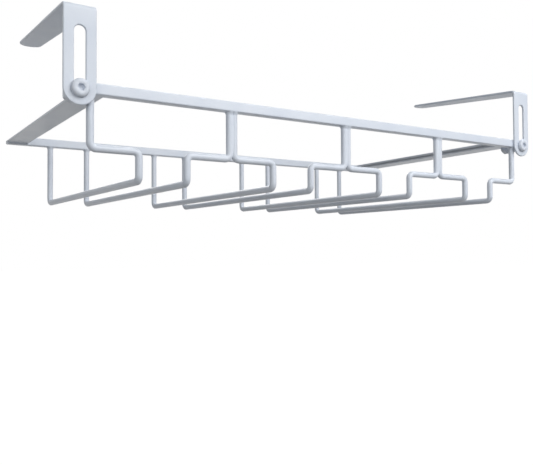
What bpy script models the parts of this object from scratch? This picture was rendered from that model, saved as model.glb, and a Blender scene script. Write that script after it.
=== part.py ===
# Hanging wine glass rack: a welded steel frame with four stem lanes, hung under a shelf
# by two slotted hooks that slide on clamp screws.
# Units are metres. X runs along the front rail, Y from front to back, Z up.
# The origin is the middle of the front rail's top face.

import math

import bmesh
import bpy
from mathutils import Matrix, Vector

# Lanes and bent wires
LANE_COUNT = 4
LANE_PITCH = 0.100
LANE_GAP = 0.0282
WIRE_DIAMETER = 0.0048
POST_HEIGHT = 0.032
STEP_HEIGHT = 0.0182
FRONT_BEND_RADIUS = 0.0037
REAR_BEND_RADIUS = 0.0042
BEND_STEPS = 5

# Top frame
FRAME_DEPTH = 0.221
RAIL_HEIGHT = 0.007
RAIL_DEPTH = 0.007
RAIL_EDGE_RADIUS = 0.0009
SIDE_BAR_WIDTH = 0.0175
SIDE_BAR_THICKNESS = 0.0016
SIDE_BAR_LIFT = 0.0015
SIDE_BAR_EDGE_RADIUS = 0.0003
SIDE_BAR_OVERHANG = 0.004

# Hooks
HOOK_WIDTH = 0.020
HOOK_THICKNESS = 0.002
HOOK_EDGE_RADIUS = 0.0003
HOOK_HEIGHT = 0.0505
FOLD_INSIDE_RADIUS = 0.0012
FOLD_STEPS = 6
ARM_LENGTH = 0.130
ARM_TIP_WIDTH = 0.0155
ARM_RISE = math.radians(5.0)
SLOT_WIDTH = 0.007
SLOT_TRAVEL = 0.034
HOOK_ARC_STEPS = 20

# Clamp screws, sleeves and nuts
SCREW_DIAMETER = 0.006
SCREW_LENGTH = 0.020
SCREW_TIP_CHAMFER = 0.0006
HEAD_DIAMETER = 0.0112
HEAD_HEIGHT = 0.0033
HEAD_RIM_HEIGHT = 0.0019
HEAD_FLAT_DIAMETER = 0.0078
HEAD_DOME_STEPS = 6
SOCKET_ACROSS_FLATS = 0.004
SOCKET_DEPTH = 0.0021
SLEEVE_DIAMETER = 0.010
SLEEVE_LENGTH = 0.012
SLEEVE_CHAMFER = 0.0004
NUT_ACROSS_FLATS = 0.010
NUT_HEIGHT = 0.005
NUT_CHAMFER = 0.0007
BORE_CLEARANCE = 0.0003
ROUND_STEPS = 32

# Clearances
SEAT_GAP = 0.0003
NOTCH_CLEARANCE = 0.0006
CUT_OVERRUN = 0.002
MERGE_DISTANCE = 0.00001

# Places worked out from the sizes above
HALF_SPAN = LANE_COUNT * LANE_PITCH / 2
POST_INSET = (WIRE_DIAMETER + SEAT_GAP) / 2
LANE_WIRE_OFFSET = (LANE_GAP + WIRE_DIAMETER) / 2
REAR_Y = FRAME_DEPTH - RAIL_DEPTH
RAIL_MIDDLE_Z = -RAIL_HEIGHT / 2
SIDE_BAR_Z = -RAIL_HEIGHT + SIDE_BAR_LIFT + SIDE_BAR_THICKNESS / 2
WIRE_TOP_Z = -RAIL_HEIGHT - SEAT_GAP
JOG_Z = -RAIL_HEIGHT - POST_HEIGHT
LANE_Z = JOG_Z - STEP_HEIGHT
FRONT_RAIL_HALF_LENGTH = HALF_SPAN - POST_INSET + WIRE_DIAMETER / 2
REAR_RAIL_HALF_LENGTH = FRONT_RAIL_HALF_LENGTH + SIDE_BAR_OVERHANG
SCREW_X = FRONT_RAIL_HALF_LENGTH + SEAT_GAP + SLEEVE_DIAMETER / 2
SCREW_Z = -SLEEVE_DIAMETER / 2
LEG_Y = -RAIL_DEPTH / 2 - SEAT_GAP - HOOK_THICKNESS / 2
HEAD_SEAT_Y = LEG_Y - HOOK_THICKNESS / 2 - SEAT_GAP
SLEEVE_BACK_Y = -RAIL_DEPTH / 2 + SLEEVE_LENGTH
NUT_FRONT_Y = SLEEVE_BACK_Y + SEAT_GAP
NUT_CORNER_RADIUS = NUT_ACROSS_FLATS / 2 / math.cos(math.pi / 6)

POWDER_COAT = (0.80, 0.84, 0.90, 1.0)
SCREW_COAT = (0.76, 0.79, 0.85, 1.0)


def clear_scene():
    for old in list(bpy.data.objects):
        bpy.data.objects.remove(old, do_unlink=True)


def make_collection(name):
    collection = bpy.data.collections.new(name)
    bpy.context.scene.collection.children.link(collection)
    return collection


def make_material(name, color, roughness, metallic):
    material = bpy.data.materials.new(name)
    material.use_nodes = True
    shader = material.node_tree.nodes["Principled BSDF"]
    shader.inputs["Base Color"].default_value = color
    shader.inputs["Roughness"].default_value = roughness
    shader.inputs["Metallic"].default_value = metallic
    material.diffuse_color = color
    return material


def finish_part(obj, color, roughness=0.42, metallic=0.0, smooth=True):
    obj.data.materials.clear()
    obj.data.materials.append(make_material(obj.name + "_finish", color, roughness, metallic))
    if smooth and obj.type == "MESH":
        obj.data.shade_smooth()
        obj.data.set_sharp_from_angle(angle=math.radians(30.0))
    return obj


def add_mesh_object(name, mesh, collection, location=(0, 0, 0), rotation=(0, 0, 0)):
    obj = bpy.data.objects.new(name, mesh)
    obj.location = location
    obj.rotation_euler = rotation
    collection.objects.link(obj)
    return obj


def add_cutter(name, mesh, location=(0, 0, 0), rotation=(0, 0, 0)):
    cutter = add_mesh_object(name, mesh, cutters, location, rotation)
    cutter.hide_render = True
    cutter.display_type = "WIRE"
    return cutter


def add_boolean(obj, cutter, operation="DIFFERENCE"):
    modifier = obj.modifiers.new(operation.title() + "_" + cutter.name, "BOOLEAN")
    modifier.object = cutter
    modifier.operation = operation
    modifier.solver = "EXACT"


def add_bevel(obj, width, segments=3):
    modifier = obj.modifiers.new("Rounded edges", "BEVEL")
    modifier.width = width
    modifier.segments = segments
    modifier.limit_method = "ANGLE"
    modifier.angle_limit = math.radians(40.0)


def arc_points(centre, radius, start, end, steps):
    points = []
    for step in range(steps + 1):
        angle = start + (end - start) * step / steps
        points.append((centre[0] + radius * math.cos(angle), centre[1] + radius * math.sin(angle)))
    return points


def curve_to_mesh(curve_object, name):
    # the evaluated curve becomes a closed mesh: its caps are welded to its sides
    depsgraph = bpy.context.evaluated_depsgraph_get()
    mesh = bpy.data.meshes.new_from_object(curve_object.evaluated_get(depsgraph))
    mesh.name = name
    bm = bmesh.new()
    bm.from_mesh(mesh)
    bm.transform(curve_object.matrix_world)
    bmesh.ops.remove_doubles(bm, verts=bm.verts, dist=MERGE_DISTANCE)
    bmesh.ops.recalc_face_normals(bm, faces=bm.faces)
    bm.to_mesh(mesh)
    bm.free()
    bpy.data.objects.remove(curve_object, do_unlink=True)
    return mesh


def plate_mesh(name, outlines, thickness, edge_radius):
    # a flat plate in the XY plane, centred on Z = 0; outlines after the first are holes
    curve = bpy.data.curves.new(name + "_outline", "CURVE")
    curve.dimensions = "2D"
    curve.fill_mode = "BOTH"
    curve.bevel_depth = edge_radius
    curve.bevel_resolution = 1
    curve.extrude = thickness / 2 - edge_radius
    curve.offset = -edge_radius
    for outline in outlines:
        spline = curve.splines.new("POLY")
        spline.points.add(len(outline) - 1)
        for point, (x, y) in zip(spline.points, outline):
            point.co = (x, y, 0.0, 1.0)
        spline.use_cyclic_u = True
    curve_object = bpy.data.objects.new(name + "_outline", curve)
    cutters.objects.link(curve_object)
    bpy.context.view_layer.update()
    return curve_to_mesh(curve_object, name)


def turned_object(name, profile, collection, closed=False):
    # profile points are (radius, height); outer sides run from top to bottom
    mesh = bpy.data.meshes.new(name)
    bm = bmesh.new()
    verts = [bm.verts.new((radius, 0.0, height)) for radius, height in profile]
    for first, second in zip(verts, verts[1:]):
        bm.edges.new((first, second))
    if closed:
        bm.edges.new((verts[-1], verts[0]))
    bm.to_mesh(mesh)
    bm.free()
    obj = add_mesh_object(name, mesh, collection)
    screw = obj.modifiers.new("Turned", "SCREW")
    screw.axis = "Z"
    screw.steps = ROUND_STEPS
    screw.render_steps = ROUND_STEPS
    screw.use_merge_vertices = True
    screw.merge_threshold = MERGE_DISTANCE
    screw.use_smooth_shade = True
    return obj


def prism_mesh(name, radius, depth, sides, turn=0.0):
    mesh = bpy.data.meshes.new(name)
    bm = bmesh.new()
    bmesh.ops.create_cone(
        bm, cap_ends=True, segments=sides, radius1=radius, radius2=radius, depth=depth,
        matrix=Matrix.Rotation(turn, 4, "Z"))
    bm.to_mesh(mesh)
    bm.free()
    return mesh


def rounded_path(corners, radii):
    # straight runs joined by arcs: each inner corner is replaced by points on its arc
    points = [Vector(corners[0])]
    for before, corner, after, radius in zip(corners, corners[1:], corners[2:], radii):
        corner = Vector(corner)
        towards_before = (Vector(before) - corner).normalized()
        towards_after = (Vector(after) - corner).normalized()
        half_angle = towards_before.angle(towards_after) / 2
        bisector = (towards_before + towards_after).normalized()
        centre = corner + bisector * (radius / math.sin(half_angle))
        first = corner + towards_before * (radius / math.tan(half_angle)) - centre
        axis = towards_before.cross(towards_after)
        sweep = math.pi - 2 * half_angle
        for step in range(BEND_STEPS + 1):
            turn = Matrix.Rotation(-sweep * step / BEND_STEPS, 3, axis)
            points.append(centre + turn @ first)
    points.append(Vector(corners[-1]))
    return points


def make_rail(name, half_length, y):
    bpy.ops.mesh.primitive_cube_add(size=1.0, location=(0.0, y, RAIL_MIDDLE_Z))
    rail = bpy.context.active_object
    rail.name = name
    rail.data.name = name
    rail.scale = (half_length * 2, RAIL_DEPTH, RAIL_HEIGHT)
    bpy.ops.object.transform_apply(location=False, rotation=False, scale=True)
    for collection in list(rail.users_collection):
        collection.objects.unlink(rail)
    parts.objects.link(rail)
    add_bevel(rail, RAIL_EDGE_RADIUS)
    return finish_part(rail, POWDER_COAT)


def make_side_bar(name, side):
    # a flat strip between the rails, notched at its outer front corner to clear the nut
    outer = side * REAR_RAIL_HALF_LENGTH
    inner = side * (REAR_RAIL_HALF_LENGTH - SIDE_BAR_WIDTH)
    notch = side * (SCREW_X - NUT_CORNER_RADIUS - NOTCH_CLEARANCE)
    front = RAIL_DEPTH / 2 + SEAT_GAP
    back = REAR_Y - RAIL_DEPTH / 2 - SEAT_GAP
    notch_back = HEAD_SEAT_Y + SCREW_LENGTH + NOTCH_CLEARANCE
    outline = [(inner, front), (notch, front), (notch, notch_back), (outer, notch_back),
               (outer, back), (inner, back)]
    mesh = plate_mesh(name, [outline], SIDE_BAR_THICKNESS, SIDE_BAR_EDGE_RADIUS)
    bar = add_mesh_object(name, mesh, parts, location=(0.0, 0.0, SIDE_BAR_Z))
    return finish_part(bar, POWDER_COAT)


def make_lane_wire(name, lane, side):
    # front post, jog into the lane, step down, long run to the back, riser to the rear rail
    centre = (lane + 0.5) * LANE_PITCH - HALF_SPAN
    post_x = centre + side * (LANE_PITCH / 2 - POST_INSET)
    run_x = centre + side * LANE_WIRE_OFFSET
    corners = [(post_x, 0.0, WIRE_TOP_Z), (post_x, 0.0, JOG_Z), (run_x, 0.0, JOG_Z),
               (run_x, 0.0, LANE_Z), (run_x, REAR_Y, LANE_Z), (run_x, REAR_Y, WIRE_TOP_Z)]
    radii = [FRONT_BEND_RADIUS, FRONT_BEND_RADIUS, FRONT_BEND_RADIUS, REAR_BEND_RADIUS]
    points = rounded_path(corners, radii)
    curve = bpy.data.curves.new(name, "CURVE")
    curve.dimensions = "3D"
    curve.bevel_depth = WIRE_DIAMETER / 2
    curve.bevel_resolution = 4
    curve.use_fill_caps = True
    curve.twist_mode = "MINIMUM"
    spline = curve.splines.new("POLY")
    spline.points.add(len(points) - 1)
    for point, place in zip(spline.points, points):
        point.co = (*place, 1.0)
    wire_curve = bpy.data.objects.new(name + "_curve", curve)
    cutters.objects.link(wire_curve)
    bpy.context.view_layer.update()
    wire = add_mesh_object(name, curve_to_mesh(wire_curve, name), parts)
    return finish_part(wire, POWDER_COAT)


def bend_point(across, along, through):
    # maps a point of the flat blank to the bent strip; along is 0 at the screw axis
    leg_length = HOOK_HEIGHT - FOLD_INSIDE_RADIUS - HOOK_THICKNESS
    middle_radius = FOLD_INSIDE_RADIUS + HOOK_THICKNESS / 2
    fold_angle = math.pi / 2 - ARM_RISE
    fold_length = middle_radius * fold_angle
    past_leg = max(0.0, along - leg_length)
    angle = min(past_leg, fold_length) / middle_radius
    past_fold = max(0.0, past_leg - fold_length)
    radius = middle_radius - through
    y = middle_radius - radius * math.cos(angle) + past_fold * math.sin(angle)
    z = min(along, leg_length) + radius * math.sin(angle) + past_fold * math.cos(angle)
    return Vector((-across, y, z))


def make_hook(name, side):
    # the flat blank is cut with its slot, then folded at the top of the leg
    leg_length = HOOK_HEIGHT - FOLD_INSIDE_RADIUS - HOOK_THICKNESS
    fold_length = (FOLD_INSIDE_RADIUS + HOOK_THICKNESS / 2) * (math.pi / 2 - ARM_RISE)
    fold_end = leg_length + fold_length
    tip_centre = fold_end + ARM_LENGTH - ARM_TIP_WIDTH / 2
    half = HOOK_WIDTH / 2
    slot_half = SLOT_WIDTH / 2
    outline = arc_points((0.0, 0.0), half, math.pi, 2 * math.pi, HOOK_ARC_STEPS)
    outline += [(half, fold_end)]
    outline += arc_points((0.0, tip_centre), ARM_TIP_WIDTH / 2, 0.0, math.pi, HOOK_ARC_STEPS)
    outline += [(-half, fold_end)]
    slot = arc_points((0.0, 0.0), slot_half, math.pi, 2 * math.pi, HOOK_ARC_STEPS)
    slot += arc_points((0.0, SLOT_TRAVEL), slot_half, 0.0, math.pi, HOOK_ARC_STEPS)
    mesh = plate_mesh(name, [outline, slot], HOOK_THICKNESS, HOOK_EDGE_RADIUS)
    bm = bmesh.new()
    bm.from_mesh(mesh)
    for step in range(FOLD_STEPS + 1):
        line = leg_length + fold_length * step / FOLD_STEPS
        bmesh.ops.bisect_plane(
            bm, geom=bm.verts[:] + bm.edges[:] + bm.faces[:], dist=MERGE_DISTANCE,
            plane_co=(0.0, line, 0.0), plane_no=(0.0, 1.0, 0.0))
    for vert in bm.verts:
        vert.co = bend_point(vert.co.x, vert.co.y, vert.co.z)
    bm.to_mesh(mesh)
    bm.free()
    hook = add_mesh_object(name, mesh, parts, location=(side * SCREW_X, LEG_Y, SCREW_Z))
    return finish_part(hook, POWDER_COAT)


def make_sleeve(name, side):
    outer = SLEEVE_DIAMETER / 2
    inner = SCREW_DIAMETER / 2 + BORE_CLEARANCE
    chamfer = SLEEVE_CHAMFER
    profile = [(inner, SLEEVE_LENGTH), (outer - chamfer, SLEEVE_LENGTH),
               (outer, SLEEVE_LENGTH - chamfer), (outer, chamfer), (outer - chamfer, 0.0),
               (inner, 0.0)]
    sleeve = turned_object(name, profile, parts, closed=True)
    sleeve.location = (side * SCREW_X, -RAIL_DEPTH / 2, SCREW_Z)
    sleeve.rotation_euler = (-math.pi / 2, 0.0, 0.0)
    return finish_part(sleeve, POWDER_COAT)


def make_nut(name, side):
    # a hexagon with its corners turned down to a chamfer, then bored
    corner_radius = NUT_CORNER_RADIUS
    place = (side * SCREW_X, NUT_FRONT_Y + NUT_HEIGHT / 2, SCREW_Z)
    turn = (-math.pi / 2, 0.0, 0.0)
    nut = add_mesh_object(
        name, prism_mesh(name, corner_radius, NUT_HEIGHT, 6, math.pi / 6), parts, place, turn)
    half = NUT_HEIGHT / 2
    drop = NUT_CHAMFER * math.tan(math.pi / 6)
    limit = corner_radius + CUT_OVERRUN
    profile = [(0.0, half + drop), (corner_radius - NUT_CHAMFER, half + drop * 0.5),
               (limit, half - drop - CUT_OVERRUN * math.tan(math.pi / 6)),
               (limit, drop + CUT_OVERRUN * math.tan(math.pi / 6) - half),
               (corner_radius - NUT_CHAMFER, -half - drop * 0.5), (0.0, -half - drop)]
    chamfer = turned_object(name + "_chamfer", profile, cutters)
    chamfer.location = place
    chamfer.rotation_euler = turn
    chamfer.hide_render = True
    chamfer.display_type = "WIRE"
    add_boolean(nut, chamfer, "INTERSECT")
    bore_mesh = prism_mesh(
        name + "_bore", SCREW_DIAMETER / 2 + BORE_CLEARANCE, NUT_HEIGHT + CUT_OVERRUN, ROUND_STEPS)
    add_boolean(nut, add_cutter(name + "_bore", bore_mesh, place, turn))
    return finish_part(nut, SCREW_COAT)


def make_clamp_screw(name, side):
    # button head with a domed top and a hexagon socket; the origin is on the screw's axis
    radius = SCREW_DIAMETER / 2
    rim = HEAD_DIAMETER / 2
    flat = HEAD_FLAT_DIAMETER / 2
    profile = [(0.0, HEAD_HEIGHT)]
    for step in range(HEAD_DOME_STEPS + 1):
        angle = math.pi / 2 * (1 - step / HEAD_DOME_STEPS)
        profile.append((flat + (rim - flat) * math.cos(angle),
                        HEAD_RIM_HEIGHT + (HEAD_HEIGHT - HEAD_RIM_HEIGHT) * math.sin(angle)))
    profile += [(rim, 0.0), (radius, 0.0), (radius, SCREW_TIP_CHAMFER - SCREW_LENGTH),
                (radius - SCREW_TIP_CHAMFER, -SCREW_LENGTH), (0.0, -SCREW_LENGTH)]
    screw = turned_object(name, profile, parts)
    screw.location = (side * SCREW_X, HEAD_SEAT_Y, SCREW_Z)
    screw.rotation_euler = (math.pi / 2, 0.0, 0.0)
    socket_depth = SOCKET_DEPTH + CUT_OVERRUN
    socket_y = HEAD_SEAT_Y - HEAD_HEIGHT + SOCKET_DEPTH - socket_depth / 2
    socket_mesh = prism_mesh(
        name + "_socket", SOCKET_ACROSS_FLATS / 2 / math.cos(math.pi / 6), socket_depth, 6, math.pi / 6)
    socket = add_cutter(name + "_socket", socket_mesh, (side * SCREW_X, socket_y, SCREW_Z),
                        (math.pi / 2, 0.0, 0.0))
    add_boolean(screw, socket)
    return finish_part(screw, SCREW_COAT, roughness=0.36)


clear_scene()
parts = make_collection("wine_glass_rack")
cutters = make_collection("cutters")

make_rail("front_rail", FRONT_RAIL_HALF_LENGTH, 0.0)
make_rail("rear_rail", REAR_RAIL_HALF_LENGTH, REAR_Y)
for side_name, side in (("left", -1), ("right", 1)):
    make_side_bar(side_name + "_side_bar", side)
    make_sleeve(side_name + "_screw_sleeve", side)
    make_nut(side_name + "_clamp_nut", side)
    make_hook(side_name + "_hook", side)
    make_clamp_screw(side_name + "_clamp_screw", side)
for lane in range(LANE_COUNT):
    for side_name, side in (("left", -1), ("right", 1)):
        make_lane_wire("lane_" + str(lane + 1) + "_" + side_name + "_wire", lane, side)
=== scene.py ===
import math

import bmesh
import bpy
from mathutils import Matrix, Vector


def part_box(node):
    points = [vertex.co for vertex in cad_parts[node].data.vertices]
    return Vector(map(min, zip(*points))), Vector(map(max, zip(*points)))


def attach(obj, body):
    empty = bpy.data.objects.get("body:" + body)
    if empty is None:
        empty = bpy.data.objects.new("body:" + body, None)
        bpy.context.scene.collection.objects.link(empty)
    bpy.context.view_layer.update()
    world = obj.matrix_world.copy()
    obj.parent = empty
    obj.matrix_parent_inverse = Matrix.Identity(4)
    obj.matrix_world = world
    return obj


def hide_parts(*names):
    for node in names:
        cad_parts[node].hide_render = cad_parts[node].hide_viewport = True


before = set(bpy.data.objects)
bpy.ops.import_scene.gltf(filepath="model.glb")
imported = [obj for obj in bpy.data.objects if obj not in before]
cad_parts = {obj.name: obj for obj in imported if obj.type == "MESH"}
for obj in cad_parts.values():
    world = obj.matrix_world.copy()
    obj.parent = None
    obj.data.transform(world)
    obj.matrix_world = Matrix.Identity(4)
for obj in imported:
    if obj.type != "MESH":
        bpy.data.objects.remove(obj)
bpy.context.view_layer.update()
print("stage: frame loaded")


# small helpers shared by the pieces

meshValues = {
    "mergeDistance": 0.000001,
    "ringMergeDistance": 0.0000001,
    "pointRadius": 1e-9,  # a ring smaller than this is a single point
    "sharpAngle": 35.0,
    "normalWeight": 100,
    "bevelFrom": 60.0,
    "edgeMiddle": 0.3,  # how far a rounded edge's middle stands in, as part of its radius
}
bothSides = ("left", "right")


def linkObject(name, data):
    made = bpy.data.objects.new(name, data)
    bpy.context.scene.collection.objects.link(made)
    return made


def meshObject(name, bm):
    mesh = bpy.data.meshes.new(name)
    bm.to_mesh(mesh)
    bm.free()
    return linkObject(name, mesh)


def applyModifiers(made):
    # the evaluated shape becomes the object's own plain mesh
    bpy.context.view_layer.update()
    graph = bpy.context.evaluated_depsgraph_get()
    solid = bpy.data.meshes.new_from_object(made.evaluated_get(graph))
    name = made.name
    bpy.data.objects.remove(made, do_unlink=True)
    solid.name = name
    return linkObject(name, solid)


def closedOutwards(made):
    # caps are joined to their tubes and all faces turned outwards
    bm = bmesh.new()
    bm.from_mesh(made.data)
    bmesh.ops.remove_doubles(bm, verts=bm.verts, dist=meshValues["mergeDistance"])
    bmesh.ops.recalc_face_normals(bm, faces=bm.faces)
    bm.to_mesh(made.data)
    bm.free()
    return made


def cutAcross(bm, place, normal):
    # a line of edges where the plane crosses the mesh
    bmesh.ops.bisect_plane(bm, geom=bm.verts[:] + bm.edges[:] + bm.faces[:],
                           dist=meshValues["mergeDistance"], plane_co=place, plane_no=normal)


def raiseFaces(bm, faces, height):
    # copies of the faces go up, walls join them, and the faces themselves stay below
    raised = bmesh.ops.extrude_face_region(bm, geom=faces)
    top = [item for item in raised["geom"] if isinstance(item, bmesh.types.BMVert)]
    bmesh.ops.translate(bm, vec=(0.0, 0.0, height), verts=top)


def roundEdges(bm, offset, segments):
    edges = [edge for edge in bm.edges if edge.is_manifold
             and edge.calc_face_angle(0.0) > math.radians(meshValues["bevelFrom"])]
    bmesh.ops.bevel(bm, geom=edges, offset=offset, segments=segments, profile=0.5,
                    affect="EDGES", clamp_overlap=True)


def smoothShading(made, angle=meshValues["sharpAngle"], weighted=True):
    made.data.shade_smooth()
    made.data.set_sharp_from_angle(angle=math.radians(angle))
    if weighted:
        modifier = made.modifiers.new("flatFacesKeepFlat", "WEIGHTED_NORMAL")
        modifier.keep_sharp = True
        modifier.weight = meshValues["normalWeight"]
        made = applyModifiers(made)
    return made


def dress(made, material, body, nodes=()):
    made.data.materials.clear()
    made.data.materials.append(material)
    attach(made, body)
    if nodes:
        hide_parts(*nodes)
    return made


def arcPoints(x, y, radius, start, end, steps):
    angles = [start + (end - start) * step / steps for step in range(steps + 1)]
    return [(x + radius * math.cos(a), y + radius * math.sin(a)) for a in angles]


def lineCurve(name, lines):
    curve = bpy.data.curves.new(name, "CURVE")
    curve.dimensions = "3D"
    for line in lines:
        spline = curve.splines.new("POLY")
        spline.points.add(len(line) - 1)
        for point, place in zip(spline.points, line):
            point.co = (*place, 1.0)
    return linkObject(name, curve)


# small helpers for node trees

def addNode(tree, kind, **settings):
    made = tree.nodes.new(kind)
    for key, value in settings.items():
        setattr(made, key, value)
    return made


def feed(tree, value, socket):
    # a plain number is set on the socket, another node's output is linked to it
    if isinstance(value, (int, float)):
        socket.default_value = value
    else:
        tree.links.new(value, socket)


def mathNode(tree, operation, first, second=0.0):
    made = addNode(tree, "ShaderNodeMath", operation=operation)
    feed(tree, first, made.inputs[0])
    feed(tree, second, made.inputs[1])
    return made.outputs["Value"]


def newShapeTree(name, inputs):
    # a tree with one geometry in, one out, and a named input for each size
    tree = bpy.data.node_groups.new(name, "GeometryNodeTree")

    def socket(label, direction, kind):
        return tree.interface.new_socket(
            name=label, in_out=direction, socket_type="NodeSocket" + kind).identifier

    socket("Geometry", "INPUT", "Geometry")
    identifiers = {key: socket(label, "INPUT", kind) for key, (label, kind) in inputs.items()}
    socket("Geometry", "OUTPUT", "Geometry")
    return tree, addNode(tree, "NodeGroupInput"), identifiers


def roundSection(tree, sides, radius):
    section = addNode(tree, "GeometryNodeCurvePrimitiveCircle", mode="RADIUS")
    feed(tree, sides, section.inputs["Resolution"])
    feed(tree, radius, section.inputs["Radius"])
    return section


def sweep(tree, path, section, scale=1.0):
    # a closed tube of the section's shape along the path
    swept = addNode(tree, "GeometryNodeCurveToMesh")
    swept.inputs["Fill Caps"].default_value = True
    tree.links.new(path, swept.inputs["Curve"])
    tree.links.new(section.outputs["Curve"], swept.inputs["Profile Curve"])
    feed(tree, scale, swept.inputs["Scale"])
    return swept.outputs["Mesh"]


def addUnevenness(tree, geometry, amount, scale):
    # a little noise in the surface, as hand welding under paint leaves it
    place = addNode(tree, "GeometryNodeInputPosition")
    noise = addNode(tree, "ShaderNodeTexNoise")
    centred = addNode(tree, "ShaderNodeVectorMath", operation="SUBTRACT")
    centred.inputs[1].default_value = (0.5, 0.5, 0.5)
    sized = addNode(tree, "ShaderNodeVectorMath", operation="SCALE")
    moved = addNode(tree, "GeometryNodeSetPosition")
    tree.links.new(place.outputs["Position"], noise.inputs["Vector"])
    tree.links.new(scale, noise.inputs["Scale"])
    tree.links.new(noise.outputs["Color"], centred.inputs[0])
    tree.links.new(centred.outputs["Vector"], sized.inputs[0])
    tree.links.new(amount, sized.inputs["Scale"])
    tree.links.new(geometry, moved.inputs["Geometry"])
    tree.links.new(sized.outputs["Vector"], moved.inputs["Offset"])
    return moved.outputs["Geometry"]


def finishTree(tree, geometry, material):
    real = addNode(tree, "GeometryNodeRealizeInstances")
    painted = addNode(tree, "GeometryNodeSetMaterial")
    painted.inputs["Material"].default_value = material
    result = addNode(tree, "NodeGroupOutput")
    tree.links.new(geometry, real.inputs["Geometry"])
    tree.links.new(real.outputs["Geometry"], painted.inputs["Geometry"])
    tree.links.new(painted.outputs["Geometry"], result.inputs["Geometry"])


def runTree(made, tree, identifiers, values):
    modifier = made.modifiers.new(tree.name, "NODES")
    modifier.node_group = tree
    for key, identifier in identifiers.items():
        modifier[identifier] = values[key]
    return closedOutwards(applyModifiers(made))


# powder coat: one recipe in three shades

paintValues = {
    "color": (0.715, 0.765, 0.845),
    "colorCool": (0.665, 0.720, 0.810),
    "hookColor": (0.685, 0.735, 0.815),
    "hookColorCool": (0.635, 0.690, 0.780),
    "screwColor": (0.680, 0.728, 0.805),
    "screwColorCool": (0.625, 0.675, 0.760),
    "roughness": (0.34, 0.50),
    "screwRoughness": (0.26, 0.40),
    "screwPeel": 0.6,
    "specular": 0.45,
    "coat": 0.12,
    "coatRoughness": 0.30,
    "patchScale": 38.0,
    "patchDetail": 3.0,
    "patchRange": (0.35, 0.70),
    "grainScale": 2600.0,
    "grainDetail": 1.0,
    "grainTone": (0.95, 1.04),
    "grainStrength": 0.5,
    "grainHeight": 0.000008,
    "peelScale": 560.0,
    "peelDetail": 2.0,
    "peelStrength": 0.6,
    "peelHeight": 0.00003,
    "nibScale": 210.0,
    "nibDetail": 0.0,
    "nibRange": (0.70, 0.80),
    "nibStrength": 0.5,
    "nibHeight": 0.00003,
}


def makePaint(name, shade, roughness, peel=1.0):
    values = paintValues
    material = bpy.data.materials.new(name)
    material.use_nodes = True
    tree = material.node_tree
    shader = tree.nodes["Principled BSDF"]
    shader.inputs["Specular IOR Level"].default_value = values["specular"]
    shader.inputs["Coat Weight"].default_value = values["coat"]
    shader.inputs["Coat Roughness"].default_value = values["coatRoughness"]
    place = addNode(tree, "ShaderNodeTexCoord").outputs["Object"]

    def noise(part):
        made = addNode(tree, "ShaderNodeTexNoise")
        made.inputs["Scale"].default_value = values[part + "Scale"]
        made.inputs["Detail"].default_value = values[part + "Detail"]
        tree.links.new(place, made.inputs["Vector"])
        return made.outputs["Fac"]

    def spread(value, toRange=(0.0, 1.0), fromRange=(0.0, 1.0)):
        made = addNode(tree, "ShaderNodeMapRange")
        made.inputs["From Min"].default_value, made.inputs["From Max"].default_value = fromRange
        made.inputs["To Min"].default_value, made.inputs["To Max"].default_value = toRange
        tree.links.new(value, made.inputs["Value"])
        return made.outputs["Result"]

    def bump(part, height, under=None):
        made = addNode(tree, "ShaderNodeBump")
        made.inputs["Strength"].default_value = values[part + "Strength"] * peel
        made.inputs["Distance"].default_value = values[part + "Height"]
        tree.links.new(height, made.inputs["Height"])
        if under is not None:
            tree.links.new(under, made.inputs["Normal"])
        return made.outputs["Normal"]

    # slow drift of tone where the coat is a little thicker or thinner
    patches = noise("patch")
    tone = addNode(tree, "ShaderNodeMix", data_type="RGBA")
    tone.inputs["A"].default_value = (*values[shade], 1.0)
    tone.inputs["B"].default_value = (*values[shade + "Cool"], 1.0)
    tree.links.new(spread(patches, fromRange=values["patchRange"]), tone.inputs["Factor"])

    # fine specks of the powder, barely lighter and darker
    grain = noise("grain")
    speckled = addNode(tree, "ShaderNodeMix", data_type="RGBA", blend_type="MULTIPLY")
    speckled.inputs["Factor"].default_value = 1.0
    tree.links.new(tone.outputs["Result"], speckled.inputs["A"])
    tree.links.new(spread(grain, values["grainTone"]), speckled.inputs["B"])
    tree.links.new(speckled.outputs["Result"], shader.inputs["Base Color"])

    # satin gloss that wanders with the coat
    tree.links.new(spread(patches, roughness), shader.inputs["Roughness"])

    # orange peel, a few baked-in nibs and the grain itself
    normal = bump("peel", noise("peel"))
    normal = bump("nib", spread(noise("nib"), fromRange=values["nibRange"]), normal)
    normal = bump("grain", grain, normal)
    tree.links.new(normal, shader.inputs["Normal"])
    return material


framePaint = makePaint("framePowderCoat", "color", paintValues["roughness"])
hookPaint = makePaint("hookPowderCoat", "hookColor", paintValues["roughness"])
screwPaint = makePaint("screwPowderCoat", "screwColor", paintValues["screwRoughness"],
                       paintValues["screwPeel"])
print("stage: paints ready")


# front and rear rail: square bar with rounded edges

railValues = {
    "edgeRadius": 0.0010,
    "edgeSegments": 5,
    "rearEndRun": 0.0066,
    "rearEndDrop": 0.0040,
}


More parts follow.
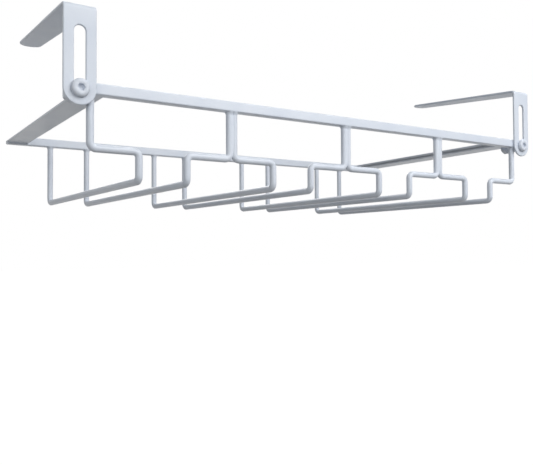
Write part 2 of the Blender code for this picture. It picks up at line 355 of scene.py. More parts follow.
def makeRail(name, node):
    low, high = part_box(node)
    bm = bmesh.new()
    bmesh.ops.create_cube(bm, size=1.0)
    bmesh.ops.scale(bm, vec=high - low, verts=bm.verts)
    bmesh.ops.translate(bm, vec=(low + high) / 2, verts=bm.verts)
    if node == "rear_rail":
        # its ends are ground down to the side bars' top
        ends = [vert for vert in bm.verts
                if abs(vert.co.z - high.z) < meshValues["mergeDistance"]]
        for x in (low.x + railValues["rearEndRun"], high.x - railValues["rearEndRun"]):
            cutAcross(bm, (x, 0.0, 0.0), (1.0, 0.0, 0.0))
        bmesh.ops.translate(bm, vec=(0.0, 0.0, -railValues["rearEndDrop"]), verts=ends)
    roundEdges(bm, railValues["edgeRadius"], railValues["edgeSegments"])
    rail = smoothShading(meshObject(name, bm))
    return dress(rail, framePaint, "frame", [node])


makeRail("frontRailBar", "front_rail")
makeRail("rearRailBar", "rear_rail")
print("stage: rails made")


# side bars: strips with a low lip turned up at the inner edge, notched round the clamp nuts

sideBarValues = {
    "edgeRadius": 0.0004,
    "edgeSegments": 4,
    "notchGap": 0.0006,
    "endReach": 0.0004,
    "lipThickness": 0.0016,
    "lipBelowRail": 0.0008,
}


def notchOf(word):
    # the inner side and the back of the notch beside a clamp nut
    low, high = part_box(word + "_clamp_nut")
    gap = sideBarValues["notchGap"]
    return (high.x + gap if word == "left" else low.x - gap), high.y + gap


def makeSideBar(name, word):
    values = sideBarValues
    node = word + "_side_bar"
    low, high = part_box(node)
    outer, inner = (low.x, high.x) if word == "left" else (high.x, low.x)
    notchX, notchY = notchOf(word)
    front, back = low.y - values["endReach"], high.y + values["endReach"]
    outline = [(inner, front), (notchX, front), (notchX, notchY),
               (outer, notchY), (outer, back), (inner, back)]
    bm = bmesh.new()
    face = bm.faces.new([bm.verts.new((x, y, low.z)) for x, y in outline])
    raiseFaces(bm, [face], high.z - low.z)

    # the lip: it stands on a strip along the inner edge and ends just below the rails' top
    lip = values["lipThickness"]
    cutAcross(bm, (inner - lip * (1 if inner > outer else -1), 0.0, 0.0), (1.0, 0.0, 0.0))
    near = meshValues["mergeDistance"]
    strip = [face for face in bm.faces
             if all(abs(vert.co.z - high.z) < near for vert in face.verts)
             and abs(face.calc_center_median().x - inner) < lip]
    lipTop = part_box("front_rail")[1].z - values["lipBelowRail"]
    raiseFaces(bm, strip, lipTop - high.z)
    bmesh.ops.recalc_face_normals(bm, faces=bm.faces)
    roundEdges(bm, values["edgeRadius"], values["edgeSegments"])
    bar = smoothShading(meshObject(name, bm))
    return dress(bar, framePaint, "frame", [node])


for word in bothSides:
    makeSideBar(word + "SideStrip", word)
print("stage: side bars made")


# lane wires: a path of corners that a node tree rounds and sweeps

wireValues = {
    "radius": 0.0024,
    "sides": 28,
    "stepHeight": 0.0182,
    "frontBend": 0.0037,
    "rearBend": 0.0042,
    "bendSteps": 9,
    "rearCorner": 4,  # which of the path's corners gets the rear bend
    "pairSqueeze": 0.0008,
    "sharpAngle": 50.0,
}


def makeWireTree():
    tree, given, identifiers = newShapeTree("bentLaneWire", {
        "radius": ("Wire Radius", "Float"),
        "sides": ("Sides", "Int"),
        "frontBend": ("Front Bend Radius", "Float"),
        "rearBend": ("Rear Bend Radius", "Float"),
        "bendSteps": ("Steps in a Bend", "Int"),
        "rearCorner": ("Rear Corner", "Int"),
    })
    corner = addNode(tree, "GeometryNodeInputIndex")
    isRear = addNode(tree, "FunctionNodeCompare", data_type="INT", operation="EQUAL")
    wholeFirst, wholeSecond = isRear.inputs[2], isRear.inputs[3]
    tree.links.new(corner.outputs["Index"], wholeFirst)
    tree.links.new(given.outputs["Rear Corner"], wholeSecond)
    bend = addNode(tree, "GeometryNodeSwitch", input_type="FLOAT")
    tree.links.new(isRear.outputs["Result"], bend.inputs["Switch"])
    tree.links.new(given.outputs["Front Bend Radius"], bend.inputs["False"])
    tree.links.new(given.outputs["Rear Bend Radius"], bend.inputs["True"])
    rounded = addNode(tree, "GeometryNodeFilletCurve", mode="POLY")
    tree.links.new(given.outputs["Geometry"], rounded.inputs["Curve"])
    tree.links.new(bend.outputs["Output"], rounded.inputs["Radius"])
    tree.links.new(given.outputs["Steps in a Bend"], rounded.inputs["Count"])
    section = roundSection(tree, given.outputs["Sides"], given.outputs["Wire Radius"])
    finishTree(tree, sweep(tree, rounded.outputs["Curve"], section), framePaint)
    return tree, identifiers


def cornersOfWire(node):
    # post top, jog, step down, run back and riser, all read from the node's box
    low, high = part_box(node)
    radius = wireValues["radius"]
    ends = (low.x + radius, high.x - radius)
    postX, runX = ends if "_left_" in node else ends[::-1]
    if node not in ("lane_1_left_wire", "lane_4_right_wire"):
        # paired posts are pressed together a little, each away from its own lane
        postX += wireValues["pairSqueeze"] * (-1 if postX < runX else 1)
    frontY, rearY = low.y + radius, high.y - radius
    runZ = low.z + radius
    jogZ = runZ + wireValues["stepHeight"]
    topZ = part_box("front_rail")[0].z
    return [(postX, frontY, topZ), (postX, frontY, jogZ), (runX, frontY, jogZ),
            (runX, frontY, runZ), (runX, rearY, runZ), (runX, rearY, topZ)]


wireTree, wireInputs = makeWireTree()
laneWires = {"lane%d%sBentWire" % (lane, word.title()): "lane_%d_%s_wire" % (lane, word)
             for lane in (1, 2, 3, 4) for word in bothSides}
for wireName, wireNode in laneWires.items():
    wire = runTree(lineCurve(wireName, [cornersOfWire(wireNode)]),
                   wireTree, wireInputs, wireValues)
    wire = smoothShading(wire, wireValues["sharpAngle"], weighted=False)
    dress(wire, framePaint, "frame", [wireNode])
print("stage: lane wires bent")


# weld collars: the fillet of each wire's end under its rail

collarValues = {
    "wireRadius": 0.00228,
    "spread": 0.00192,
    "height": 0.0050,
    "hollow": 3.0,
    "railReach": 0.0034,
    "railOverlap": 0.0010,
    "sides": 32,
    "rings": 8,
    "unevenness": 0.00022,
    "unevenScale": 380.0,
    "sharpAngle": 50.0,
}


def makeCollarTree():
    # a cone on each point, hollowed to a fillet: wide at the rail, the wire's size below
    tree, given, identifiers = newShapeTree("weldCollars", {
        "wireRadius": ("Wire Radius", "Float"),
        "spread": ("Spread", "Float"),
        "height": ("Height", "Float"),
        "hollow": ("Hollow", "Float"),
        "railReach": ("Rail Reach", "Float"),
        "sides": ("Sides", "Int"),
        "rings": ("Rings", "Int"),
        "unevenness": ("Unevenness", "Float"),
        "unevenScale": ("Unevenness Scale", "Float"),
    })
    cone = addNode(tree, "GeometryNodeMeshCone")
    tree.links.new(given.outputs["Sides"], cone.inputs["Vertices"])
    tree.links.new(given.outputs["Rings"], cone.inputs["Side Segments"])
    tree.links.new(mathNode(tree, "ADD", given.outputs["Wire Radius"], given.outputs["Spread"]),
                   cone.inputs["Radius Top"])
    tree.links.new(given.outputs["Wire Radius"], cone.inputs["Radius Bottom"])
    tree.links.new(given.outputs["Height"], cone.inputs["Depth"])

    place = addNode(tree, "GeometryNodeInputPosition")
    parted = addNode(tree, "ShaderNodeSeparateXYZ")
    joined = addNode(tree, "ShaderNodeCombineXYZ")
    tree.links.new(place.outputs["Position"], parted.inputs["Vector"])
    rise = mathNode(tree, "DIVIDE", parted.outputs["Z"], given.outputs["Height"])
    rise = mathNode(tree, "MAXIMUM", rise, 0.0)
    straight = mathNode(tree, "ADD", given.outputs["Wire Radius"],
                        mathNode(tree, "MULTIPLY", rise, given.outputs["Spread"]))
    curved = mathNode(tree, "POWER", rise, given.outputs["Hollow"])
    hollow = mathNode(tree, "ADD", given.outputs["Wire Radius"],
                      mathNode(tree, "MULTIPLY", curved, given.outputs["Spread"]))
    factor = mathNode(tree, "DIVIDE", hollow, straight)
    tree.links.new(mathNode(tree, "MULTIPLY", parted.outputs["X"], factor), joined.inputs["X"])
    reach = given.outputs["Rail Reach"]
    deep = mathNode(tree, "MULTIPLY", parted.outputs["Y"], factor)
    deep = mathNode(tree, "MINIMUM", deep, reach)
    deep = mathNode(tree, "MAXIMUM", deep, mathNode(tree, "MULTIPLY", reach, -1.0))
    tree.links.new(deep, joined.inputs["Y"])
    tree.links.new(parted.outputs["Z"], joined.inputs["Z"])
    shaped = addNode(tree, "GeometryNodeSetPosition")
    tree.links.new(cone.outputs["Mesh"], shaped.inputs["Geometry"])
    tree.links.new(joined.outputs["Vector"], shaped.inputs["Position"])

    placed = addNode(tree, "GeometryNodeInstanceOnPoints")
    tree.links.new(given.outputs["Geometry"], placed.inputs["Points"])
    tree.links.new(shaped.outputs["Geometry"], placed.inputs["Instance"])
    real = addNode(tree, "GeometryNodeRealizeInstances")
    tree.links.new(placed.outputs["Instances"], real.inputs["Geometry"])
    rough = addUnevenness(tree, real.outputs["Geometry"], given.outputs["Unevenness"],
                          given.outputs["Unevenness Scale"])
    finishTree(tree, rough, framePaint)
    return tree, identifiers


collarPlaces = []
for wireNode in laneWires.values():
    corners = cornersOfWire(wireNode)
    for x, y, z in (corners[0], corners[-1]):
        collarPlaces.append((x, y, z + collarValues["railOverlap"] - collarValues["height"]))
collarMesh = bpy.data.meshes.new("weldCollars")
collarMesh.from_pydata(collarPlaces, [], [])
collars = runTree(linkObject("weldCollars", collarMesh), *makeCollarTree(), collarValues)
collars = smoothShading(collars, collarValues["sharpAngle"], weighted=False)
dress(collars, framePaint, "frame")
print("stage: %d weld collars set" % len(collarPlaces))


# weld seams: beads along flat joints, and the filled groove of paired posts

seamValues = {
    "radius": 0.0009,
    "ripple": 0.10,
    "rippleLength": 0.0017,
    "pointsPerRipple": 4.0,
    "endTaper": 0.25,
    "leastWidth": 0.01,
    "sides": 14,
    "unevenness": 0.00024,
    "unevenScale": 420.0,
    "inset": 0.0012,
    "lift": 0.0002,
    "nutSeamFrom": math.radians(195.0),
    "nutSeamTo": math.radians(345.0),
    "nutSeamSteps": 15,
    "sharpAngle": 60.0,
}


def taperedWidth(tree, along, power, least):
    # full along the middle of a line and drawn in at both its ends
    width = mathNode(tree, "SINE", mathNode(tree, "MULTIPLY", along, math.pi))
    return mathNode(tree, "POWER", mathNode(tree, "MAXIMUM", width, least), power)


def makeSeamTree():
    # a round bead swept along each line, rippled and drawn in at its ends
    tree, given, identifiers = newShapeTree("weldSeams", {
        "radius": ("Bead Radius", "Float"),
        "ripple": ("Ripple", "Float"),
        "rippleLength": ("Ripple Length", "Float"),
        "pointsPerRipple": ("Points per Ripple", "Float"),
        "endTaper": ("End Taper", "Float"),
        "leastWidth": ("Least Width", "Float"),
        "sides": ("Sides", "Int"),
        "unevenness": ("Unevenness", "Float"),
        "unevenScale": ("Unevenness Scale", "Float"),
    })
    even = addNode(tree, "GeometryNodeResampleCurve", mode="LENGTH")
    tree.links.new(given.outputs["Geometry"], even.inputs["Curve"])
    step = mathNode(tree, "DIVIDE", given.outputs["Ripple Length"],
                    given.outputs["Points per Ripple"])
    tree.links.new(step, even.inputs["Length"])
    spot = addNode(tree, "GeometryNodeSplineParameter")
    turns = mathNode(tree, "DIVIDE", spot.outputs["Length"], given.outputs["Ripple Length"])
    wave = mathNode(tree, "SINE", mathNode(tree, "MULTIPLY", turns, 2 * math.pi))
    ripple = mathNode(tree, "MULTIPLY", wave, given.outputs["Ripple"])
    ripple = mathNode(tree, "ADD", ripple, 1.0)
    taper = taperedWidth(tree, spot.outputs["Factor"], given.outputs["End Taper"],
                         given.outputs["Least Width"])
    size = mathNode(tree, "MULTIPLY", mathNode(tree, "MULTIPLY", ripple, taper),
                    given.outputs["Bead Radius"])
    section = roundSection(tree, given.outputs["Sides"], 1.0)
    bead = sweep(tree, even.outputs["Curve"], section, size)
    rough = addUnevenness(tree, bead, given.outputs["Unevenness"],
                          given.outputs["Unevenness Scale"])
    finishTree(tree, rough, framePaint)
    return tree, identifiers


def seamsOfSide(word):
    values = seamValues
    inset, lift = values["inset"], values["lift"]
    barLow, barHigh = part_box(word + "_side_bar")
    railLow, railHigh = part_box("front_rail")
    sleeveLow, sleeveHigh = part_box(word + "_screw_sleeve")
    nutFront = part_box(word + "_clamp_nut")[0].y
    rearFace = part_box("rear_rail")[0].y - lift
    frontFace = railHigh.y + lift
    notchX, notchY = notchOf(word)
    if word == "left":
        frontFrom, frontTo, railEnd = notchX + inset, barHigh.x - inset, railLow.x
    else:
        frontFrom, frontTo, railEnd = barLow.x + inset, notchX - inset, railHigh.x
    lines = []
    for z in (barHigh.z + lift, barLow.z - lift):
        lines.append([(frontFrom, frontFace, z), (frontTo, frontFace, z)])
        lines.append([(barLow.x + inset, rearFace, z), (barHigh.x - inset, rearFace, z)])
    for y in (railLow.y + inset, railHigh.y):
        lines.append([(railEnd, y, railLow.z + lift), (railEnd, y, railHigh.z - inset)])
    centre = (sleeveLow + sleeveHigh) / 2
    joint = (sleeveHigh.y + nutFront) / 2
    reach = (sleeveHigh.z - sleeveLow.z) / 2
    around = arcPoints(centre.x, centre.z, reach, values["nutSeamFrom"], values["nutSeamTo"],
                       values["nutSeamSteps"])
    lines.append([(x, joint, z) for x, z in around])
    return lines


seamLines = [line for word in bothSides for line in seamsOfSide(word)]
seams = runTree(lineCurve("weldSeams", seamLines), *makeSeamTree(), seamValues)
seams = smoothShading(seams, seamValues["sharpAngle"], weighted=False)
dress(seams, framePaint, "frame")


# the filled groove between the two posts of a pair

fillValues = {
    "width": 0.0051,
    "depth": 0.0042,
    "step": 0.0012,
    "endTaper": 0.06,
    "leastWidth": 0.01,
    "unevenness": 0.00003,
    "unevenScale": 240.0,
    "notch": 0.0030,
    "sharpAngle": 60.0,
}


def makeFillTree():
    # a flat strip of weld and coat down the groove, drawn in at its ends
    tree, given, identifiers = newShapeTree("pairFills", {
        "width": ("Width", "Float"),
        "depth": ("Depth", "Float"),
        "step": ("Step", "Float"),
        "endTaper": ("End Taper", "Float"),
        "leastWidth": ("Least Width", "Float"),
        "unevenness": ("Unevenness", "Float"),
        "unevenScale": ("Unevenness Scale", "Float"),
    })
    even = addNode(tree, "GeometryNodeResampleCurve", mode="LENGTH")
    tree.links.new(given.outputs["Geometry"], even.inputs["Curve"])
    tree.links.new(given.outputs["Step"], even.inputs["Length"])
    spot = addNode(tree, "GeometryNodeSplineParameter")
    taper = taperedWidth(tree, spot.outputs["Factor"], given.outputs["End Taper"],
                         given.outputs["Least Width"])
    section = addNode(tree, "GeometryNodeCurvePrimitiveQuadrilateral", mode="RECTANGLE")
    tree.links.new(given.outputs["Width"], section.inputs["Width"])
    tree.links.new(given.outputs["Depth"], section.inputs["Height"])
    strip = sweep(tree, even.outputs["Curve"], section, taper)
    rough = addUnevenness(tree, strip, given.outputs["Unevenness"],
                          given.outputs["Unevenness Scale"])
    finishTree(tree, rough, framePaint)
    return tree, identifiers


# a pair's posts stand side by side, and weld and coat bridge the groove between them
pairLines = []
for lane in (1, 2, 3):
    rightTop, rightJog = cornersOfWire("lane_%d_right_wire" % lane)[:2]
    leftTop = cornersOfWire("lane_%d_left_wire" % (lane + 1))[0]
    x, y = (rightTop[0] + leftTop[0]) / 2, rightTop[1]
    bottom = rightJog[2] + fillValues["notch"]
    pairLines.append([(x, y, rightTop[2]), (x, y, bottom)])
fills = runTree(lineCurve("postPairFillets", pairLines), *makeFillTree(), fillValues)
fills = smoothShading(fills, fillValues["sharpAngle"], weighted=False)
dress(fills, framePaint, "frame")
print("stage: weld seams laid")


# hooks: a slotted flat blank folded at the top of its leg

hookValues = {
    "thickness": 0.002,
    "edgeRadius": 0.0007,
    "edgeResolution": 3,
    "height": 0.0505,  # from the middle of the foot's curve to the top of the fold
    "insideRadius": 0.0012,
    "foldSteps": 16,
    "armLength": 0.130,
    "tipWidth": 0.0155,
    "armRise": math.radians(5.0),
    "slotWidth": 0.007,
    "slotTravel": 0.034,
    "arcSteps": 40,
    "armParts": 4,
    "sharpAngle": 45.0,
}


def blankObject(name, outlines, thickness, edge):
    # a flat curve with a filled face, thickened and rounded at its edges
    curve = bpy.data.curves.new(name, "CURVE")
    curve.dimensions = "2D"
    curve.fill_mode = "BOTH"
    curve.bevel_depth = edge
    curve.bevel_resolution = hookValues["edgeResolution"]
    curve.extrude = thickness / 2 - edge
    curve.offset = -edge
    for outline in outlines:
        spline = curve.splines.new("POLY")
        spline.points.add(len(outline) - 1)
        for point, (x, y) in zip(spline.points, outline):
            point.co = (x, y, 0.0, 1.0)
        spline.use_cyclic_u = True
    return closedOutwards(applyModifiers(linkObject(name, curve)))


def foldPoint(place, legLength, middleRadius, foldAngle):
    # across, along and through the blank become the folded strip's own place
    pastLeg = max(0.0, place.y - legLength)
    angle = min(pastLeg, middleRadius * foldAngle) / middleRadius
    pastFold = max(0.0, pastLeg - middleRadius * foldAngle)
    radius = middleRadius - place.z
    y = middleRadius - radius * math.cos(angle) + pastFold * math.sin(angle)
    z = min(place.y, legLength) + radius * math.sin(angle) + pastFold * math.cos(angle)
    return Vector((-place.x, y, z))


def makeHook(name, word):
    values = hookValues
    node = word + "_hook"
    low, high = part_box(node)
    half = (high.x - low.x) / 2
    slotHalf = values["slotWidth"] / 2
    tipHalf = values["tipWidth"] / 2
    legLength = values["height"] - values["insideRadius"] - values["thickness"]
    middleRadius = values["insideRadius"] + values["thickness"] / 2
    foldAngle = math.pi / 2 - values["armRise"]
    foldEnd = legLength + middleRadius * foldAngle
    tipCentre = foldEnd + values["armLength"] - tipHalf
    steps = values["arcSteps"]
    outline = arcPoints(0.0, 0.0, half, math.pi, 2 * math.pi, steps)
    outline += [(half, foldEnd)]
    outline += arcPoints(0.0, tipCentre, tipHalf, 0.0, math.pi, steps)
    outline += [(-half, foldEnd)]
    slot = arcPoints(0.0, 0.0, slotHalf, math.pi, 2 * math.pi, steps)
    slot += arcPoints(0.0, values["slotTravel"], slotHalf, 0.0, math.pi, steps)
    hook = blankObject(name, [outline, slot], values["thickness"], values["edgeRadius"])

    # cross lines where the blank bends, at the slot's ends and along the arm, then the fold
    bm = bmesh.new()
    bm.from_mesh(hook.data)
    lines = [legLength + middleRadius * foldAngle * step / values["foldSteps"]
             for step in range(values["foldSteps"] + 1)]
    lines += [0.0, values["slotTravel"]]
    lines += [foldEnd + values["armLength"] * part / values["armParts"]
              for part in range(1, values["armParts"])]
    for line in lines:
        cutAcross(bm, (0.0, line, 0.0), (0.0, 1.0, 0.0))
    place = Vector(((low.x + high.x) / 2, low.y + values["thickness"] / 2, low.z + half))
    for vert in bm.verts:
        vert.co = foldPoint(vert.co, legLength, middleRadius, foldAngle) + place
    bm.to_mesh(hook.data)
    bm.free()
    hook = smoothShading(hook, values["sharpAngle"])
    return dress(hook, hookPaint, node, [node])


for word in bothSides:
    makeHook(word + "SlottedHook", word)
print("stage: hooks folded")


# bodies made of rings round the screw's axis

def hexRadius(flats, angle, corner):
    # distance to a hexagon's side in this direction, its corners slightly eased
    turned = (angle % (math.pi / 3)) - math.pi / 6
    return min(flats / 2 / math.cos(turned), flats / 2 / math.cos(math.pi / 6) - corner)


def circleRing(radius, height):
    return lambda angle: (radius, height)


def ringBody(name, rings, steps, axis, place):
    # a ring gives radius and height for an angle, and one of no radius is a single point
    bm = bmesh.new()
    angles = [2 * math.pi * step / steps for step in range(steps)]
    rows = []
    for ring in rings:
        sizes = [ring(angle) for angle in angles]
        if all(radius < meshValues["pointRadius"] for radius, height in sizes):
            rows.append([bm.verts.new((0.0, 0.0, sizes[0][1]))] * steps)
        else:
            rows.append([bm.verts.new((radius * math.cos(a), radius * math.sin(a), height))
                         for a, (radius, height) in zip(angles, sizes)])
    for first, second in zip(rows, rows[1:]):
        for step in range(steps):
            following = (step + 1) % steps
            corners = dict.fromkeys(
                [first[step], first[following], second[following], second[step]])
            if len(corners) > 2:
                bm.faces.new(list(corners))
    bmesh.ops.remove_doubles(bm, verts=bm.verts, dist=meshValues["ringMergeDistance"])
    bmesh.ops.recalc_face_normals(bm, faces=bm.faces)
    turn = Vector((0.0, 0.0, 1.0)).rotation_difference(axis).to_matrix().to_4x4()
    bm.transform(Matrix.Translation(place) @ turn)
    return meshObject(name, bm)


# sleeves: plain turned tubes at the ends of the front rail

sleeveValues = {
    "bore": 0.0033,
    "edge": 0.0005,
    "steps": 72,
}


def makeSleeve(name, word):
    node = word + "_screw_sleeve"
    low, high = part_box(node)
    centre = (low + high) / 2
    outer = (high.x - low.x) / 2
    length = high.y - low.y
    bore, edge = sleeveValues["bore"], sleeveValues["edge"]
    middle = edge * meshValues["edgeMiddle"]
    rings = [circleRing(bore, 0.0)]
    for start, sign in ((0.0, 1), (length, -1)):
        bend = [(outer - edge, start), (outer - middle, start + sign * middle),
                (outer, start + sign * edge)]
        rings += [circleRing(*size) for size in (bend if sign > 0 else bend[::-1])]
    rings += [circleRing(bore, length), circleRing(bore, 0.0)]
    sleeve = ringBody(name, rings, sleeveValues["steps"], Vector((0.0, 1.0, 0.0)),
                      Vector((centre.x, low.y, centre.z)))
    return dress(smoothShading(sleeve), framePaint, "frame", [node])


for word in bothSides:
    makeSleeve(word + "ScrewSleeve", word)
print("stage: sleeves turned")


# nuts: hexagons with both faces turned down at the corners

nutValues = {
    "bore": 0.0033,
    "mouth": 0.0004,
    "faceRadius": 0.0046,
    "slope": math.radians(30.0),
    "cornerEase": 0.0001,
    "steps": 96,
    "sharpAngle": 25.0,
}


def makeNut(name, word):
    values = nutValues
    node = word + "_clamp_nut"
    low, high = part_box(node)
    centre = (low + high) / 2
    length = high.y - low.y
    flats = high.z - low.z
    bore, mouth = values["bore"], values["mouth"]

    def cornerRing(atEnd):
        def ring(angle):
            radius = hexRadius(flats, angle + math.pi / 6, values["cornerEase"])
            drop = max(0.0, radius - values["faceRadius"]) * math.tan(values["slope"])
            return radius, (length - drop if atEnd else drop)
        return ring

    rings = [circleRing(bore, mouth), circleRing(bore + mouth, 0.0),
             circleRing(values["faceRadius"], 0.0), cornerRing(False), cornerRing(True),
             circleRing(values["faceRadius"], length), circleRing(bore + mouth, length),
             circleRing(bore, length - mouth), circleRing(bore, mouth)]
    nut = ringBody(name, rings, values["steps"], Vector((0.0, 1.0, 0.0)),
                   Vector((centre.x, low.y, centre.z)))
    nut = smoothShading(nut, values["sharpAngle"])
    return dress(nut, framePaint, "frame", [node])


for word in bothSides:
    makeNut(word + "HexNut", word)
print("stage: nuts made")


# clamp screws: button heads with a hexagon socket, thread at the far end

screwValues = {
    "headHeight": 0.0027,
    "rimHeight": 0.0007,
    "flatRadius": 0.0036,
    "underEdge": 0.00025,
    "domeSteps": 12,
    "socketFlats": 0.004,
    "socketDepth": 0.0021,
    "socketLip": 0.00024,
    "lipMiddle": (0.35, 0.3),  # out and down, as parts of the lip
    "socketEase": 0.00008,
    "drillRadius": 0.0012,
    "drillRise": 0.2,  # as part of the lip
    "drillDepth": 0.0004,
    "shankRadius": 0.003,
    "length": 0.020,
    "tipChamfer": 0.0006,
    "threadFrom": 0.0128,
    "threadPitch": 0.001,
    "threadDepth": 0.00045,
    "threadRows": 8,
    "threadFlank": 2.6,
    "steps": 96,
    "sharpAngle": 32.0,
}


def headRings(headRadius):
    values = screwValues
    top = values["headHeight"]
    floor = top - values["socketDepth"]
    lip = values["socketLip"]
    lipOut, lipDown = values["lipMiddle"]

    def socketRing(grow, height):
        return lambda angle: (
            hexRadius(values["socketFlats"], angle, values["socketEase"]) + grow, height)

    rings = [circleRing(0.0, floor - values["drillDepth"]),
             circleRing(values["drillRadius"], floor - lip * values["drillRise"]),
             socketRing(-lip / 2, floor), socketRing(0.0, floor + lip / 2),
             socketRing(0.0, top - lip), socketRing(lip * lipOut, top - lip * lipDown),
             socketRing(lip, top)]
    for step in range(values["domeSteps"] + 1):
        angle = math.pi / 2 * (1 - step / values["domeSteps"])
        reach = values["flatRadius"] + (headRadius - values["flatRadius"]) * math.cos(angle)
        height = values["rimHeight"] + (top - values["rimHeight"]) * math.sin(angle)
        rings.append(circleRing(reach, height))
    edge = values["underEdge"]
    middle = edge * meshValues["edgeMiddle"]
    rings += [circleRing(headRadius, edge), circleRing(headRadius - middle, middle),
              circleRing(headRadius - edge, 0.0)]
    return rings


def threadRings():
    # the plain shank, then a groove that winds once round in each pitch
    values = screwValues
    radius = values["shankRadius"]
    start, pitch = values["threadFrom"], values["threadPitch"]
    end = values["length"] - values["tipChamfer"]
    count = int((end - start) / pitch * values["threadRows"])

    def ringAt(depth):
        def ring(angle):
            turn = (depth / pitch + angle / (2 * math.pi)) % 1.0
            crest = min(1.0, abs(turn - 0.5) * values["threadFlank"])
            runIn = min(1.0, (depth - start) / pitch)
            return radius - values["threadDepth"] * (1 - crest) * runIn, -depth
        return ring

    rings = [circleRing(radius, 0.0)]
    rings += [ringAt(start + (end - start) * step / count) for step in range(count + 1)]
    rings += [circleRing(radius - values["tipChamfer"], -values["length"]),
              circleRing(0.0, -values["length"])]
    return rings


def makeScrew(name, word):
    node = word + "_clamp_screw"
    low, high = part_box(node)
    centre = (low + high) / 2
    rings = headRings((high.x - low.x) / 2) + threadRings()
    screw = ringBody(name, rings, screwValues["steps"], Vector((0.0, -1.0, 0.0)),
                     Vector((centre.x, high.y - screwValues["length"], centre.z)))
    screw = smoothShading(screw, screwValues["sharpAngle"])
    return dress(screw, screwPaint, word + "_screw", [node])


for word in bothSides:
    makeScrew(word + "ButtonScrew", word)
print("stage: screws turned")


# floor: pale and matt, white to the eye, with the rack's soft shadow left on it

floorValues = {
    "level": -0.46,
    "half": 12.0,
    "segments": 4,
    "color": (0.285, 0.28, 0.272),
    "roughness": 0.9,
    "glowNear": 0.88,
    "glowFar": 1.0,
    "fadeFrom": 0.6,
    "fadeTo": 2.4,
}


def seenDirectly(tree):
    # 1 for rays from the camera, mirrored ones and ones let through, 0 for all others
    ray = addNode(tree, "ShaderNodeLightPath")
    seen = mathNode(tree, "MAXIMUM", ray.outputs["Is Camera Ray"], ray.outputs["Is Glossy Ray"])
    return mathNode(tree, "MAXIMUM", seen, ray.outputs["Is Transmission Ray"])


def makeFloor():
    values = floorValues
    bm = bmesh.new()
    bmesh.ops.create_grid(bm, x_segments=values["segments"], y_segments=values["segments"],
                          size=values["half"])
    bmesh.ops.translate(bm, vec=(0.0, 0.0, values["level"]), verts=bm.verts)
    floor = meshObject("paleFloor", bm)
    material = bpy.data.materials.new("paleFloor")
    material.use_nodes = True
    tree = material.node_tree
    shader = tree.nodes["Principled BSDF"]
    shader.inputs["Base Color"].default_value = (*values["color"], 1.0)
    shader.inputs["Roughness"].default_value = values["roughness"]
    shader.inputs["Specular IOR Level"].default_value = 0.0
    shader.inputs["Emission Color"].default_value = (1.0, 1.0, 1.0, 1.0)
    place = addNode(tree, "ShaderNodeTexCoord")
    reach = addNode(tree, "ShaderNodeVectorMath", operation="LENGTH")
    fade = addNode(tree, "ShaderNodeMapRange", interpolation_type="SMOOTHSTEP")
    fade.inputs["From Min"].default_value = values["fadeFrom"]
    fade.inputs["From Max"].default_value = values["fadeTo"]
    fade.inputs["To Min"].default_value = values["glowNear"]
    fade.inputs["To Max"].default_value = values["glowFar"]
    tree.links.new(place.outputs["Object"], reach.inputs[0])
    tree.links.new(reach.outputs["Value"], fade.inputs["Value"])
    tree.links.new(mathNode(tree, "MULTIPLY", seenDirectly(tree), fade.outputs["Result"]),
                   shader.inputs["Emission Strength"])
    floor.data.materials.append(material)


makeFloor()
print("stage: floor laid")


# light: a soft key above in front, weaker lamps front left and behind, an even pale room

lightValues = {
    "room": 0.20,
    "roomTint": (0.96, 0.98, 1.0),
    "aim": (0.0, 0.08, -0.02),
    "keyPlace": (0.24, -0.62, 0.43),
    "keySize": 0.80,
    "keyPower": 6.2,
    "fillPlace": (-0.85, -0.80, 0.16),
    "fillSize": 0.9,
    "fillPower": 3.3,
    "backPlace": (0.35, 1.7, 1.0),
    "backSize": 1.2,
    "backPower": 9.0,
}


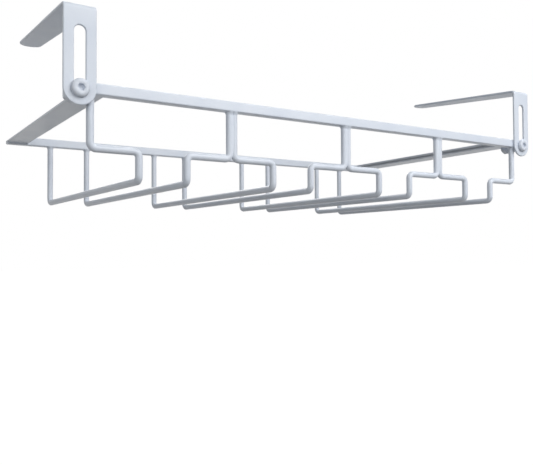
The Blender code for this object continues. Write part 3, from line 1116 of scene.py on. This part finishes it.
def makeRoom():
    world = bpy.data.worlds.new("paleRoom")
    bpy.context.scene.world = world
    world.use_nodes = True
    tree = world.node_tree
    tree.nodes.clear()
    lit = addNode(tree, "ShaderNodeBackground")
    lit.inputs["Color"].default_value = (*lightValues["roomTint"], 1.0)
    lit.inputs["Strength"].default_value = lightValues["room"]
    shown = addNode(tree, "ShaderNodeBackground")
    shown.inputs["Color"].default_value = (1.0, 1.0, 1.0, 1.0)
    shown.inputs["Strength"].default_value = 1.0
    mixed = addNode(tree, "ShaderNodeMixShader")
    output = addNode(tree, "ShaderNodeOutputWorld")
    tree.links.new(seenDirectly(tree), mixed.inputs[0])
    tree.links.new(lit.outputs["Background"], mixed.inputs[1])
    tree.links.new(shown.outputs["Background"], mixed.inputs[2])
    tree.links.new(mixed.outputs["Shader"], output.inputs["Surface"])


def makeLamp(part):
    place = Vector(lightValues[part + "Place"])
    data = bpy.data.lights.new(part + "Lamp", "AREA")
    data.shape = "DISK"
    data.size = lightValues[part + "Size"]
    data.energy = lightValues[part + "Power"]
    lamp = linkObject(part + "Lamp", data)
    lamp.location = place
    lamp.rotation_mode = "QUATERNION"
    aim = Vector(lightValues["aim"]) - place
    lamp.rotation_quaternion = aim.to_track_quat("-Z", "Y")
    lamp.visible_camera = False


makeRoom()
for lampPart in ("key", "fill", "back"):
    makeLamp(lampPart)
print("stage: lights hung")


# camera: fitted to edges of the rails, posts and lanes in the photograph

cameraValues = {
    "place": (-0.317882, -0.383886, -0.100779),
    "yaw": 32.6108,
    "pitch": 1.5663,
    "roll": -0.3104,
    "focalPixels": 651.0016,
    "imageWidth": 533.0,
    "sensorWidth": 36.0,
    "seesFrom": 0.01,
    "seesTo": 60.0,
}


def makeCamera():
    values = cameraValues
    yaw, pitch, roll = (math.radians(values[key]) for key in ("yaw", "pitch", "roll"))
    ahead = Vector((math.sin(yaw) * math.cos(pitch), math.cos(yaw) * math.cos(pitch),
                    math.sin(pitch)))
    level = Vector((math.cos(yaw), -math.sin(yaw), 0.0))
    upright = level.cross(ahead)
    right = level * math.cos(roll) + upright * math.sin(roll)
    up = upright * math.cos(roll) - level * math.sin(roll)
    data = bpy.data.cameras.new("photoCamera")
    data.sensor_width = values["sensorWidth"]
    data.lens = data.sensor_width * values["focalPixels"] / values["imageWidth"]
    data.clip_start = values["seesFrom"]
    data.clip_end = values["seesTo"]
    camera = linkObject("photoCamera", data)
    turn = Matrix((right, up, -ahead)).transposed()
    camera.matrix_world = Matrix.Translation(values["place"]) @ turn.to_4x4()
    bpy.context.scene.camera = camera


makeCamera()
bpy.context.scene.view_settings.view_transform = "Standard"
print("stage: camera set")
